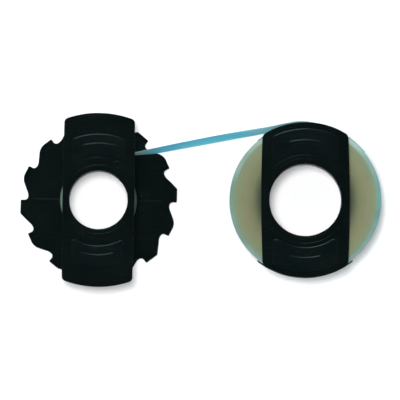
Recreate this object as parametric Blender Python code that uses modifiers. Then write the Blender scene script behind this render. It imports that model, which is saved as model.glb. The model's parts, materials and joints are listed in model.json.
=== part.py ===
"""Typewriter lift-off correction tape set, lying flat with both spool axes upright.

A take-up spool with a ratchet wheel and a full supply spool are joined by a strip of leader film.
Each spool is two mouldings: a lower flange with the hub tube, and an upper flange plugged into it.
The frame's origin is under the middle of the set, on the surface that it lies on: +X runs from the
take-up spool to the supply spool, +Z points up.
"""

import math

import bmesh
import bpy
from mathutils import Vector

MM = 0.001

# Layout
SPACING = 43.9 * MM  # between the spool axes
FIT = 0.2 * MM  # gap between pieces of one spool
RUN = 0.3 * MM  # gap between pieces that pass each other

# Heights, the same for both spools
FLANGE = 1.2 * MM  # plate thickness
FILM_LOW = FLANGE + RUN
TAPE_WIDTH = 8.0 * MM
FILM_HIGH = FILM_LOW + TAPE_WIDTH
UPPER_LOW = FILM_HIGH + RUN
UPPER_HIGH = UPPER_LOW + FLANGE
PANEL_RISE = 0.2 * MM
RIB_RISE = 0.15 * MM
BEAD_RISE = 0.1 * MM
EDGE = 0.15 * MM  # chamfer on the mouldings
PLUG_LOW = FILM_HIGH - 1.8 * MM  # lower end of an upper flange's collar, down in its hub
SEAT_LOW = PLUG_LOW - 0.2 * MM
KEY_LOW = PLUG_LOW + 0.4 * MM
KEY_HALF_WIDTH = 0.8 * MM  # the key that lines an upper flange up with its hub
GRIP_RIB_WIDTH = 0.5 * MM
BEAD_HALF_ANGLE = math.radians(50)
OVERCUT = 1.0 * MM  # how far a cutter reaches past the face that it cuts

# Take-up spool
TAKEUP_TURN = math.radians(-1.0)
TAKEUP_BORE = 6.2 * MM
TAKEUP_HUB = 7.6 * MM
TAKEUP_COLLAR = 6.75 * MM
TAKEUP_FILM = 8.3 * MM  # outside of the leader turns
TEETH = 14
TIP = 16.6 * MM
HEEL = 16.9 * MM  # the land's far end
ROOT = 15.05 * MM
LAND_ANGLE = math.radians(9.8)
BACK_SLOPE = math.radians(34)  # how steeply the back leaves the land
BACK_FALL = 3.3 * MM  # how far that slope pulls the curve of the back
BACK_GLIDE = 1.05 * MM  # the same for the curve's level end
ROOT_FILLET = 0.75 * MM
RIB_WIDTH = 0.6 * MM
RATCHET_RIB_RISE = 0.12 * MM
RATCHET_RIB_END = 13.7 * MM
WEB_INNER = 9.2 * MM
WEB_OUTER = 13.6 * MM
WEB_DEPTH = 0.4 * MM

# Supply spool
SUPPLY_BORE = 7.65 * MM
SUPPLY_HUB = 8.9 * MM
SUPPLY_COLLAR = 8.15 * MM
TAPE_OUTER = 15.1 * MM
SUPPLY_FILM = 16.1 * MM  # outside of the leader turns
LOWER_HALF_WIDTH = 10.1 * MM
LOWER_RADIUS = 16.4 * MM

# Film and tabs
FILM_SOLID = 0.2 * MM  # the film's thickness as a solid
TAB = 0.2 * MM
TAB_LOW = FILM_LOW + 0.5 * MM
TAB_HIGH = SEAT_LOW - 0.8 * MM  # below the seat, so that the hub keeps a full wall
TAB_PLACE = math.radians(-90)
TAB_HALF_ANGLE = math.radians(20)
POCKET_MARGIN = math.radians(2)  # between a tab's end and its pocket's end
SPLICE_PLACE = math.radians(-60)
SPLICE_HALF_ANGLE = math.radians(16)
LEAN_START = 2.75 * MM  # the film's upper edge leans out by LEAN_START * s - LEAN_FALL * s * s
LEAN_FALL = 2.12 * MM

ROUND_STEPS = 48

# The whole set's box is centred on the origin along X. A heel is the ratchet's far point.
TAKEUP_REACH = HEEL * math.cos(LAND_ANGLE + TAKEUP_TURN)
TAKEUP_X = -(SPACING + SUPPLY_FILM - TAKEUP_REACH) / 2
SUPPLY_X = TAKEUP_X + SPACING


class Ear:
    """Sizes of a flat-sided upper flange, its two grip panels, their ribs and the bead at the bore."""

    def __init__(self, **sizes):
        self.__dict__.update({name: value * MM for name, value in sizes.items()})


TAKEUP_EAR = Ear(
    end_width=7.48, mid_width=7.6, length=18.45, end_radius=20.8, corner=1.0,
    panel_in=9.75, panel_out=13.8, panel_width=5.7, panel_corner=0.8,
    rib_radius=11.85, rib_reach=3.5, bead_radius=7.3, bead_width=0.4,
)
SUPPLY_EAR = Ear(
    end_width=9.12, mid_width=9.38, length=16.49, end_radius=16.49, corner=1.4,
    panel_in=10.1, panel_out=15.1, panel_width=7.2, panel_corner=1.2,
    rib_radius=12.5, rib_reach=3.8, bead_radius=9.4, bead_width=0.5,
)


# ---------------------------------------------------------------- scene helpers

def clear_scene():
    for obj in list(bpy.data.objects):
        bpy.data.objects.remove(obj, do_unlink=True)


def new_collection(name):
    collection = bpy.data.collections.new(name)
    bpy.context.scene.collection.children.link(collection)
    return collection


def linear(channel):
    """An sRGB channel, 0 to 255, as the linear value that a shader takes."""
    share = channel / 255
    return share / 12.92 if share <= 0.04045 else ((share + 0.055) / 1.055) ** 2.4


def new_material(name, rgb, roughness):
    material = bpy.data.materials.new(name)
    material.use_nodes = True
    shader = material.node_tree.nodes["Principled BSDF"]
    shader.inputs["Base Color"].default_value = (*(linear(c) for c in rgb), 1)
    shader.inputs["Roughness"].default_value = roughness
    shader.inputs["Metallic"].default_value = 0
    return material


def new_axis(name, x, turn=0.0):
    """An empty on a spool's axis, which carries the spool's pieces."""
    axis = bpy.data.objects.new(name, None)
    axis.location = (x, 0, 0)
    axis.rotation_euler = (0, 0, turn)
    axis.empty_display_size = 0.02
    objects.objects.link(axis)
    return axis


def new_object(name, mesh):
    obj = bpy.data.objects.new(name, mesh)
    tools.objects.link(obj)
    obj.hide_render = True
    obj.display_type = "WIRE"
    return obj


def make_node(obj, material, axis=None):
    """Turns a helper into a finished piece of the set."""
    tools.objects.unlink(obj)
    objects.objects.link(obj)
    obj.hide_render = False
    obj.display_type = "TEXTURED"
    obj.data.materials.clear()
    obj.data.materials.append(material)
    obj.data.shade_smooth()
    obj.data.set_sharp_from_angle(angle=math.radians(30))
    obj.parent = axis
    for modifier in obj.modifiers:
        if modifier.type == "BOOLEAN":
            modifier.object.parent = axis
    return obj


def boolean(obj, other, operation):
    modifier = obj.modifiers.new(other.name, "BOOLEAN")
    modifier.operation = operation
    modifier.solver = "EXACT"
    modifier.object = other


# ---------------------------------------------------------------- shape helpers

def polar(radius, angle, centre=(0, 0)):
    return Vector((centre[0] + radius * math.cos(angle), centre[1] + radius * math.sin(angle)))


def arc(radius, start, stop, steps, centre=(0, 0)):
    return [polar(radius, start + (stop - start) * i / steps, centre) for i in range(steps + 1)]


def circle(radius, centre=(0, 0), steps=ROUND_STEPS):
    return arc(radius, 0, math.tau * (steps - 1) / steps, steps - 1, centre)


def plate(name, outlines, low, high, edge=0.0):
    """A flat outline, with any holes, filled and made thick between two heights."""
    curve = bpy.data.curves.new(name, "CURVE")
    curve.dimensions = "2D"
    curve.fill_mode = "BOTH"
    curve.extrude = (high - low) / 2 - edge
    curve.bevel_depth = edge
    curve.bevel_resolution = 0
    curve.offset = -edge
    for points in outlines:
        spline = curve.splines.new("POLY")
        spline.points.add(len(points) - 1)
        for point, place in zip(spline.points, points, strict=True):
            point.co = (place[0], place[1], 0, 1)
        spline.use_cyclic_u = True
    outline = bpy.data.objects.new(name, curve)
    tools.objects.link(outline)
    graph = bpy.context.evaluated_depsgraph_get()
    mesh = bpy.data.meshes.new_from_object(outline.evaluated_get(graph))
    bpy.data.objects.remove(outline)
    shape = bmesh.new()
    shape.from_mesh(mesh)
    bmesh.ops.remove_doubles(shape, verts=shape.verts, dist=0.001 * MM)
    bmesh.ops.translate(shape, vec=(0, 0, (low + high) / 2), verts=shape.verts)
    bmesh.ops.recalc_face_normals(shape, faces=shape.faces)
    shape.to_mesh(mesh)
    shape.free()
    return new_object(name, mesh)


def turned(name, profile):
    """A closed profile of (radius, height) points, turned about Z. It runs down its outer side."""
    shape = bmesh.new()
    corners = [shape.verts.new((radius, 0, height)) for radius, height in profile]
    for i, corner in enumerate(corners):
        shape.edges.new((corner, corners[(i + 1) % len(corners)]))
    mesh = bpy.data.meshes.new(name)
    shape.to_mesh(mesh)
    shape.free()
    obj = new_object(name, mesh)
    screw = obj.modifiers.new("turn", "SCREW")
    screw.steps = ROUND_STEPS
    screw.render_steps = ROUND_STEPS
    screw.use_merge_vertices = True
    screw.merge_threshold = 0.001 * MM
    return obj


def ring(name, inner, outer, low, high):
    return turned(name, [(inner, high), (outer, high), (outer, low), (inner, low)])


def block(name, low, high):
    """A box between two corners."""
    shape = bmesh.new()
    bmesh.ops.create_cube(shape, size=1.0)
    low, high = Vector(low), Vector(high)
    bmesh.ops.scale(shape, vec=high - low, verts=shape.verts)
    bmesh.ops.translate(shape, vec=(low + high) / 2, verts=shape.verts)
    mesh = bpy.data.meshes.new(name)
    shape.to_mesh(mesh)
    shape.free()
    return new_object(name, mesh)


def sector(name, inner, outer, middle, half_angle, low, high):
    """A stretch of ring, centred on the angle middle."""
    steps = 10
    start, stop = middle - half_angle, middle + half_angle
    outline = arc(outer, start, stop, steps) + arc(inner, stop, start, steps)
    return plate(name, [outline], low, high)


# ---------------------------------------------------------------- outlines

def mirrored(quarter):
    """Four quadrants from one that runs counterclockwise from the X axis to the Y axis."""
    top = quarter + [Vector((-p.x, p.y)) for p in reversed(quarter) if p.x > 1e-9]
    return top + [Vector((p.x, -p.y)) for p in reversed(top) if p.y > 1e-9]


def ear_outline(end_width, mid_width, length, end_radius, corner):
    """Slightly bowed straight sides, round ends, rounded corners. All widths are half widths."""
    tilt = math.atan2(2 * (mid_width - end_width), 0.8 * length)  # of the side where it ends
    centre_y = length - end_radius
    corner_x = end_width - corner * math.cos(tilt)
    spread = math.asin(corner_x / (end_radius - corner))
    corner_y = centre_y + (end_radius - corner) * math.cos(spread)
    side_top = corner_y + corner * math.sin(tilt)
    side_steps = 6
    side = []
    for i in range(side_steps):
        share = i / side_steps
        side.append(Vector((mid_width - (mid_width - end_width) * share**2, side_top * share)))
    bend = arc(corner, tilt, math.pi / 2 - spread, 4, (corner_x, corner_y))
    end = arc(end_radius, math.pi / 2 - spread, math.pi / 2, 8, (0, centre_y))
    return mirrored(side + bend + end[1:])


def panel_outline(inner, outer, width, corner):
    """A ring stretch across the Y axis with straight sides and rounded corners."""
    x = width - corner
    top_spread = math.asin(x / (outer - corner))
    low_spread = math.asin(x / (inner + corner))
    top_y = (outer - corner) * math.cos(top_spread)
    low_y = (inner + corner) * math.cos(low_spread)
    right = arc(inner, math.pi / 2, math.pi / 2 - low_spread, 5)
    right += arc(corner, -math.pi / 2 - low_spread, 0, 4, (x, low_y))
    right += arc(corner, 0, math.pi / 2 - top_spread, 4, (x, top_y))
    right += arc(outer, math.pi / 2 - top_spread, math.pi / 2, 5)[1:]
    left = [Vector((-p.x, p.y)) for p in reversed(right[1:-1])]
    return right + left


def rib_outline(radius, width, half_angle):
    """An arc-shaped rib with round ends, across the Y axis."""
    start, stop = math.pi / 2 - half_angle, math.pi / 2 + half_angle
    outer = arc(radius + width / 2, start, stop, 10)
    far_end = arc(width / 2, stop, stop + math.pi, 4, polar(radius, stop))[1:-1]
    inner = arc(radius - width / 2, stop, start, 10)
    near_end = arc(width / 2, start - math.pi, start, 4, polar(radius, start))[1:-1]
    return outer + far_end + inner + near_end


def tooth_outline():
    """One ratchet tooth counterclockwise: steep face, land, falling back and root fillet."""
    pitch = math.tau / TEETH
    fillet_centre = ROOT + ROOT_FILLET
    fillet_turn = math.asin(ROOT_FILLET / fillet_centre)
    fillet_angle = pitch - fillet_turn
    tip = polar(TIP, 0)
    heel = polar(HEEL, LAND_ANGLE)
    bottom = polar(ROOT, fillet_angle)
    fall = polar(BACK_FALL, LAND_ANGLE + math.pi / 2 + BACK_SLOPE)
    glide = polar(BACK_GLIDE, fillet_angle - math.pi / 2)
    steps = 6
    back = []
    for i in range(1, steps):
        t = i / steps
        near = heel * (1 - t) ** 3 + (heel + fall) * 3 * t * (1 - t) ** 2
        far = (bottom + glide) * 3 * t * t * (1 - t) + bottom * t**3
        back.append(near + far)
    centre = polar(fillet_centre, fillet_angle)
    fillet = arc(ROOT_FILLET, fillet_angle + math.pi, pitch + math.pi / 2, 4, centre)
    return [tip, heel] + back + fillet


def ratchet_outline():
    tooth = tooth_outline()
    points = []
    for i in range(TEETH):
        turn = math.tau * i / TEETH
        for point in tooth:
            points.append(polar(point.length, math.atan2(point.y, point.x) + turn))
    return points


# ---------------------------------------------------------------- pieces

def upright(outline, side):
    """The outline as drawn across +Y, or turned half round for side -1."""
    return [point * side for point in outline]


def ear_flange(name, ear, bore, collar, material, axis):
    """An upper flange: plate, grip panels with ribs, bead round the bore, collar with two keys."""
    outline = ear_outline(ear.end_width, ear.mid_width, ear.length, ear.end_radius, ear.corner)
    flange = plate(name, [outline, circle(bore)], UPPER_LOW, UPPER_HIGH, EDGE)
    panel = panel_outline(ear.panel_in, ear.panel_out, ear.panel_width, ear.panel_corner)
    half_reach = math.asin(ear.rib_reach / ear.rib_radius)
    rib = rib_outline(ear.rib_radius, GRIP_RIB_WIDTH, half_reach)
    panel_top = UPPER_HIGH + PANEL_RISE
    for side, place in ((1, "north"), (-1, "south")):
        grip = plate(f"{name}_panel_{place}", [upright(panel, side)], UPPER_LOW + EDGE, panel_top)
        boolean(flange, grip, "UNION")
        line = plate(f"{name}_rib_{place}", [upright(rib, side)], UPPER_HIGH, panel_top + RIB_RISE)
        boolean(flange, line, "UNION")
        inner = ear.bead_radius - ear.bead_width / 2
        outer = ear.bead_radius + ear.bead_width / 2
        bead = sector(f"{name}_bead_{place}", inner, outer, side * math.pi / 2, BEAD_HALF_ANGLE,
                      UPPER_HIGH - EDGE, UPPER_HIGH + BEAD_RISE)
        boolean(flange, bead, "UNION")
    boolean(flange, ring(f"{name}_collar", bore, collar, PLUG_LOW, UPPER_LOW + EDGE * 2), "UNION")
    for side, place in ((1, "east"), (-1, "west")):
        near, far = sorted((side * (bore + EDGE * 2), side * (collar + FIT)))
        key = block(f"{name}_key_{place}", (near, -KEY_HALF_WIDTH, KEY_LOW),
                    (far, KEY_HALF_WIDTH, UPPER_LOW + EDGE))
        boolean(flange, key, "UNION")
    return make_node(flange, material, axis)


def hub_tube(name, bore, collar, outer):
    """A hub from the underside up, with a wider seat at its top for an upper flange's collar."""
    lead = EDGE * 2
    seat = collar + FIT
    return turned(name, [
        (seat, FILM_HIGH), (outer - EDGE, FILM_HIGH), (outer, FILM_HIGH - EDGE), (outer, 0),
        (bore + lead, 0), (bore, lead), (bore, SEAT_LOW), (seat, SEAT_LOW),
    ])


def key_slots(obj, collar):
    """Two slots in the seat's wall, for the upper flange's keys."""
    half_width = KEY_HALF_WIDTH + FIT
    for side, place in ((1, "east"), (-1, "west")):
        near, far = sorted((side * (collar - FIT), side * (collar + 2 * FIT)))
        slot = block(f"{obj.name}_slot_{place}", (near, -half_width, KEY_LOW - FIT),
                     (far, half_width, FILM_HIGH + OVERCUT))
        boolean(obj, slot, "DIFFERENCE")


def tab_pocket(obj, radius, middle, half_angle, low, high):
    """A shallow pocket in a round wall, where an adhesive tab lies."""
    cut = sector(f"{obj.name}_pocket", radius - TAB - FIT, radius + OVERCUT, middle,
                 half_angle + POCKET_MARGIN, low - FIT, high + FIT)
    boolean(obj, cut, "DIFFERENCE")


def takeup_spool(black, film, tab):
    axis = new_axis("takeup_axis", TAKEUP_X, TAKEUP_TURN)
    name = "takeup_ratchet_spool"
    spool = plate(name, [ratchet_outline(), circle((TAKEUP_BORE + TAKEUP_HUB) / 2)], 0, FLANGE)
    tube = hub_tube(f"{name}_tube", TAKEUP_BORE, TAKEUP_COLLAR, TAKEUP_HUB)
    boolean(spool, tube, "UNION")
    for side, place in ((1, "east"), (-1, "west")):
        near, far = sorted((side * (TAKEUP_HUB - EDGE), side * RATCHET_RIB_END))
        rib = block(f"{name}_rib_{place}", (near, -RIB_WIDTH / 2, FLANGE / 2),
                    (far, RIB_WIDTH / 2, FLANGE + RATCHET_RIB_RISE))
        boolean(spool, rib, "UNION")
    boolean(spool, ring(f"{name}_web", WEB_INNER, WEB_OUTER, -OVERCUT, WEB_DEPTH), "DIFFERENCE")
    key_slots(spool, TAKEUP_COLLAR)
    tab_pocket(spool, TAKEUP_HUB, TAB_PLACE, TAB_HALF_ANGLE, TAB_LOW, TAB_HIGH)
    make_node(spool, black, axis)

    ear_flange("takeup_ear_flange", TAKEUP_EAR, TAKEUP_BORE, TAKEUP_COLLAR, black, axis)
    anchor = sector("takeup_anchor_tab", TAKEUP_HUB - TAB, TAKEUP_HUB, TAB_PLACE, TAB_HALF_ANGLE,
                    TAB_LOW, TAB_HIGH)
    make_node(anchor, tab, axis)
    turns = ring("takeup_leader_turns", TAKEUP_HUB + FIT, TAKEUP_FILM, FILM_LOW, FILM_HIGH)
    make_node(turns, film, axis)


def supply_spool(black, film, tape, tab):
    axis = new_axis("supply_axis", SUPPLY_X)
    name = "supply_flanged_hub"
    outline = ear_outline(LOWER_HALF_WIDTH, LOWER_HALF_WIDTH, LOWER_RADIUS, LOWER_RADIUS, EDGE * 2)
    spool = plate(name, [outline, circle((SUPPLY_BORE + SUPPLY_HUB) / 2)], 0, FLANGE)
    tube = hub_tube(f"{name}_tube", SUPPLY_BORE, SUPPLY_COLLAR, SUPPLY_HUB)
    boolean(spool, tube, "UNION")
    key_slots(spool, SUPPLY_COLLAR)
    tab_pocket(spool, SUPPLY_HUB, TAB_PLACE, TAB_HALF_ANGLE, TAB_LOW, TAB_HIGH)
    make_node(spool, black, axis)

    ear_flange("supply_ear_flange", SUPPLY_EAR, SUPPLY_BORE, SUPPLY_COLLAR, black, axis)
    core = sector("supply_core_tab", SUPPLY_HUB - TAB, SUPPLY_HUB, TAB_PLACE, TAB_HALF_ANGLE,
                  TAB_LOW, TAB_HIGH)
    make_node(core, tab, axis)
    roll = ring("supply_tape_roll", SUPPLY_HUB + FIT, TAPE_OUTER, FILM_LOW, FILM_HIGH)
    tab_pocket(roll, TAPE_OUTER, SPLICE_PLACE, SPLICE_HALF_ANGLE, FILM_LOW - OVERCUT,
               FILM_HIGH + OVERCUT)
    make_node(roll, tape, axis)
    splice = sector("splice_patch", TAPE_OUTER - TAB, TAPE_OUTER, SPLICE_PLACE, SPLICE_HALF_ANGLE,
                    FILM_LOW, FILM_HIGH)
    make_node(splice, tab, axis)
    turns = ring("supply_leader_turns", TAPE_OUTER + FIT, SUPPLY_FILM, FILM_LOW, FILM_HIGH)
    make_node(turns, film, axis)


def leader_span(film):
    """The taut film on the common tangent of both windings. Its upper edge leans outwards."""
    rise = math.asin((SUPPLY_FILM - TAKEUP_FILM) / SPACING)
    outward = Vector((-math.sin(rise), math.cos(rise), 0))
    clear = RUN + FILM_SOLID / 2
    start = Vector((TAKEUP_X, 0, 0)) + outward * (TAKEUP_FILM + clear)
    stop = Vector((SUPPLY_X, 0, 0)) + outward * (SUPPLY_FILM + clear)
    shape = bmesh.new()
    bmesh.ops.create_grid(shape, x_segments=16, y_segments=4, size=0.5)
    for vert in shape.verts:
        along, up = vert.co.x + 0.5, vert.co.y + 0.5
        lean = (LEAN_START * along - LEAN_FALL * along**2) * up
        vert.co = start.lerp(stop, along) + outward * lean
        vert.co.z = FILM_LOW + TAPE_WIDTH * up
    mesh = bpy.data.meshes.new("leader_span")
    shape.to_mesh(mesh)
    shape.free()
    span = new_object("leader_span", mesh)
    thick = span.modifiers.new("thickness", "SOLIDIFY")
    thick.thickness = FILM_SOLID
    thick.offset = 0
    make_node(span, film)


clear_scene()
objects = new_collection("correction_tape_set")
tools = new_collection("construction")

BLACK = new_material("black_plastic", (14, 20, 20), 0.35)
FILM = new_material("leader_film", (84, 165, 186), 0.3)
TAPE = new_material("lift_off_tape", (134, 138, 108), 0.6)
TAB_FILM = new_material("adhesive_tab", (225, 222, 205), 0.5)

takeup_spool(BLACK, FILM, TAB_FILM)
leader_span(FILM)
supply_spool(BLACK, FILM, TAPE, TAB_FILM)
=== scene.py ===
"""Typewriter lift-off correction tape set: its finished looks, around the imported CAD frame.

Two spools lie flat on a pale floor, joined by a strip of leader film. Every piece of the frame is
made again here as a fine mesh with soft moulded edges, in the same place, and rides on its body.
Metres, +Z up, +X from the take-up spool to the supply spool.
"""

import json
import math
import random
from types import SimpleNamespace

import bmesh
import bpy
from mathutils import Matrix, Vector, noise


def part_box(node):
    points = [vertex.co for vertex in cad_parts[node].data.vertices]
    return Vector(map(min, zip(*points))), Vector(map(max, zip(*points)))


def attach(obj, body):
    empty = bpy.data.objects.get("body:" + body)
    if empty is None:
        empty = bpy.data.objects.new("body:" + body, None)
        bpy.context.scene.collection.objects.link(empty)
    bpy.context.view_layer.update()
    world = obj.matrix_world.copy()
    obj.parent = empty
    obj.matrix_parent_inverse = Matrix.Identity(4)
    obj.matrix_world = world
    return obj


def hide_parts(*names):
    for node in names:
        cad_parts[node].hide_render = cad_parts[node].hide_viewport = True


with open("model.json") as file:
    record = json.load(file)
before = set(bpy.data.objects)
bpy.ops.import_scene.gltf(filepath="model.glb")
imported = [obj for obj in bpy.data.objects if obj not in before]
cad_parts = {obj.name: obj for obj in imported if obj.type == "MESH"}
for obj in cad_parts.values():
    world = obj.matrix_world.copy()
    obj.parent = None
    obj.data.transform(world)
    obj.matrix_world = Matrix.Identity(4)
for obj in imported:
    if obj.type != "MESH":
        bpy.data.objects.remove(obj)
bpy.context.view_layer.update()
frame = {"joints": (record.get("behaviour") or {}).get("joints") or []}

MM = 0.001
AXIS = {joint["child"]: Vector(joint["pos_m"]) for joint in frame["joints"]}

# Heights, read from the frame where a node's box gives them
FILM_LOW, FILM_HIGH = (corner.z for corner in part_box("supply_tape_roll"))
FLANGE = 1.2 * MM  # plate thickness
UPPER_LOW = 9.8 * MM  # underside of an upper flange
UPPER_HIGH = UPPER_LOW + FLANGE
PANEL_RISE = 0.2 * MM
PANEL_TOP = UPPER_HIGH + PANEL_RISE
RIB_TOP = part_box("takeup_ear_flange")[1].z
BOSS_RISE = 0.05 * MM
BEAD_RISE = 0.06 * MM  # above the boss
PLUG_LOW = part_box("takeup_ear_flange")[0].z  # lower end of an upper flange's collar
SEAT_LOW = PLUG_LOW - 0.2 * MM
KEY_LOW = PLUG_LOW + 0.4 * MM

# Fits and edges of the mouldings
FIT = 0.2 * MM  # gap between pieces of one spool
EDGE = 0.15 * MM  # lead-ins and clearances
CRISP = 0.05 * MM  # rounding of a plate's outer edge
PANEL_SLOPE = 0.36 * MM  # width of the grip panels' falling rim
BEAD_ROUND = 0.1 * MM
BEAD_HALF_ANGLE = math.radians(50)
KEY_HALF_WIDTH = 0.8 * MM
SLOT_HALF_WIDTH = 1.0 * MM
OVERCUT = 1.0 * MM  # how far a cutter reaches past the face that it cuts
OVERLAP = 0.01 * MM  # how far a raised part is let into the face under it
SHARP_ANGLE = math.radians(35)  # an edge that bends more than this stays sharp
WELD = 0.0005 * MM  # points closer than this are one
ON_AXIS = 1e-9  # a point closer to an axis than this lies on it


def half_width(node):
    """Half of a node's width along X."""
    low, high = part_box(node)
    return (high.x - low.x) / 2


# Take-up spool
TAKEUP_TURN = math.radians(-1.0)  # of the whole spool, as it lies
TAKEUP_BORE = 6.2 * MM
TAKEUP_HUB = 7.6 * MM
TAKEUP_COLLAR = 6.75 * MM
TAKEUP_FILM = half_width("takeup_leader_turns") - 0.15 * MM  # wound a little tighter
TEETH = 14
TIP = 16.6 * MM
HEEL = 16.9 * MM  # the land's far end
ROOT = 15.05 * MM
LAND_ANGLE = math.radians(9.8)
BACK_SLOPE = math.radians(34)  # how steeply the back leaves the land
BACK_FALL = 3.3 * MM  # how far that slope pulls the curve of the back
BACK_GLIDE = 1.05 * MM  # the same for the curve's level end
ROOT_FILLET = 0.75 * MM
TIP_ROUND = 0.2 * MM
SHARP_HEEL = 0.35 * MM
ROUND_HEEL = 2.6 * MM
SHARP_TEETH = {0, 2, 4, 7, 11, 12}  # the other teeth have worn, rounder heels
RIB_WIDTH = 0.6 * MM
RATCHET_RIB_RISE = 0.12 * MM
RATCHET_RIB_END = 13.7 * MM
WEB_INNER = 9.2 * MM
WEB_OUTER = 13.6 * MM
WEB_DEPTH = 0.4 * MM
WEB_SLOPE = 0.15 * MM
MOULD_RING_PLACE = (3.9 * MM, 7.45 * MM)
MOULD_RING_OUTER = 0.9 * MM
MOULD_RING_INNER = 0.4 * MM
MOULD_RING_RISE = 0.2 * MM
MOULD_RING_ROUND = 0.12 * MM

# Supply spool
SUPPLY_BORE = 7.65 * MM
SUPPLY_HUB = 8.9 * MM
SUPPLY_COLLAR = 8.15 * MM
TAPE_OUTER = half_width("supply_tape_roll")
SUPPLY_FILM = half_width("supply_leader_turns")
LOWER_HALF_WIDTH = 10.1 * MM
LOWER_RADIUS = 16.4 * MM
EJECTOR_COUNT = 4
EJECTOR_PLACE = 12.4 * MM
EJECTOR_START = math.radians(50)
EJECTOR_RADIUS = 0.8 * MM
EJECTOR_DEPTH = 0.07 * MM
PINHOLE = 0.02 * MM  # a turned shape can't close on its axis

# Windings
TAPE_LAYER = 0.15 * MM
FILM_LAYER = 0.1 * MM
HUB_GAP = 0.05 * MM  # between the take-up hub and its winding
CORE_GAP = 0.06 * MM  # between the supply hub and its roll
GROOVE_SHARE = 0.2  # how much of a layer's thickness its share of a groove takes
GROOVE_DEPTH = 0.7  # against that width
WANDER = 0.08 * MM  # how far a winding's face wanders
WANDER_SCALE = 0.16  # how quickly, per millimetre

# Film and tabs
FILM_THICKNESS = 0.08 * MM
FILM_GAP = 0.05 * MM  # between the film and the windings that it lies on
FOOT_SLACK = 0.5 * MM  # how far the film's lower edge sags in between the spools
TOP_SLACK = 0.23 * MM  # the same for its upper edge
LEAN_START = 2.75 * MM  # at the share s of its way, the upper edge leans out by
LEAN_FALL = 2.12 * MM  # LEAN_START * s - LEAN_FALL * s * s
LEAN_CURVE = 1.15  # the lean grows with this power of the height
TAKEUP_LEAD = math.radians(40)  # how far the film is drawn back round the take-up winding
SUPPLY_WRAP = math.radians(62)  # how far it is drawn on round the full roll
TAB = 0.2 * MM
TAB_GAP = 0.02 * MM
TAB_LOW = FILM_LOW + 0.5 * MM
TAB_HIGH = SEAT_LOW - 0.8 * MM
TAB_PLACE = math.radians(-90)
TAB_HALF_ANGLE = math.radians(20)
POCKET_MARGIN = math.radians(1)
SPLICE_PLACE = math.radians(-60)
SPLICE_HALF_ANGLE = math.radians(16)
SPLICE_BELOW = 0.06 * MM  # how far the patch reaches into the roll
SPLICE_ABOVE = 0.02 * MM  # and out of it

ROUND_STEPS = 192
NOISE_LOW, NOISE_HIGH = 0.3, 0.7  # nearly all of a soft noise lies between these
CAMERA_ELEVATION = 88.6  # degrees


def ear_sizes(**sizes):
    """Sizes in millimetres of an upper flange, its grip panels, their ribs, its beads and boss."""
    return SimpleNamespace(**{name: value * MM for name, value in sizes.items()})


TAKEUP_EAR = ear_sizes(
    end_width=7.48, mid_width=7.6, length=18.44, end_radius=20.8, corner=1.0,
    panel_in=9.62, panel_out=14.13, panel_width=5.7, panel_corner=0.8,
    rib_radius=11.85, rib_width=0.7, rib_slope=0.33, rib_reach=3.15,
    bead_radius=7.3, bead_width=0.4, boss_radius=9.07,
)
SUPPLY_EAR = ear_sizes(
    end_width=9.12, mid_width=9.38, length=16.49, end_radius=16.49, corner=1.4,
    panel_in=9.97, panel_out=15.23, panel_width=7.2, panel_corner=1.2,
    rib_radius=12.5, rib_width=0.85, rib_slope=0.42, rib_reach=3.1,
    bead_radius=9.4, bead_width=0.5, boss_radius=8.84,
)


# ---------------------------------------------------------------- outlines

def polar(radius, angle, centre=(0, 0)):
    return Vector((centre[0] + radius * math.cos(angle), centre[1] + radius * math.sin(angle)))


def arc(radius, start, stop, steps, centre=(0, 0)):
    return [polar(radius, start + (stop - start) * i / steps, centre) for i in range(steps + 1)]


def circle(radius, centre=(0, 0), steps=ROUND_STEPS):
    return arc(radius, 0, math.tau * (steps - 1) / steps, steps - 1, centre)


def mirrored(quarter):
    """Four quadrants from one that runs counterclockwise from the X axis to the Y axis."""
    top = quarter + [Vector((-p.x, p.y)) for p in reversed(quarter) if p.x > ON_AXIS]
    return top + [Vector((p.x, -p.y)) for p in reversed(top) if p.y > ON_AXIS]


def rounded_corner(before, corner, after, radius, steps=5):
    """The arc that takes a corner's place."""
    back = (before - corner).normalized()
    ahead = (after - corner).normalized()
    half = back.angle(ahead) / 2
    reach = radius / math.tan(half)
    centre = corner + (back + ahead).normalized() * radius / math.sin(half)
    start = corner + back * reach - centre
    stop = corner + ahead * reach - centre
    turn = math.atan2(start.cross(stop), start.dot(stop))
    first = math.atan2(start.y, start.x)
    return arc(radius, first, first + turn, steps, centre)


def ear_outline(end_width, mid_width, length, end_radius, corner):
    """Slightly bowed straight sides, round ends, rounded corners. All widths are half widths."""
    bow_length = 0.8 * length
    tilt = math.atan2(2 * (mid_width - end_width), bow_length)
    centre_y = length - end_radius
    corner_x = end_width - corner * math.cos(tilt)
    spread = math.asin(corner_x / (end_radius - corner))
    corner_y = centre_y + (end_radius - corner) * math.cos(spread)
    side_top = corner_y + corner * math.sin(tilt)
    side_steps = 16
    side = []
    for i in range(side_steps):
        share = i / side_steps
        side.append(Vector((mid_width - (mid_width - end_width) * share**2, side_top * share)))
    bend = arc(corner, tilt, math.pi / 2 - spread, 8, (corner_x, corner_y))
    end = arc(end_radius, math.pi / 2 - spread, math.pi / 2, 28, (0, centre_y))
    return mirrored(side + bend + end[1:])


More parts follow.
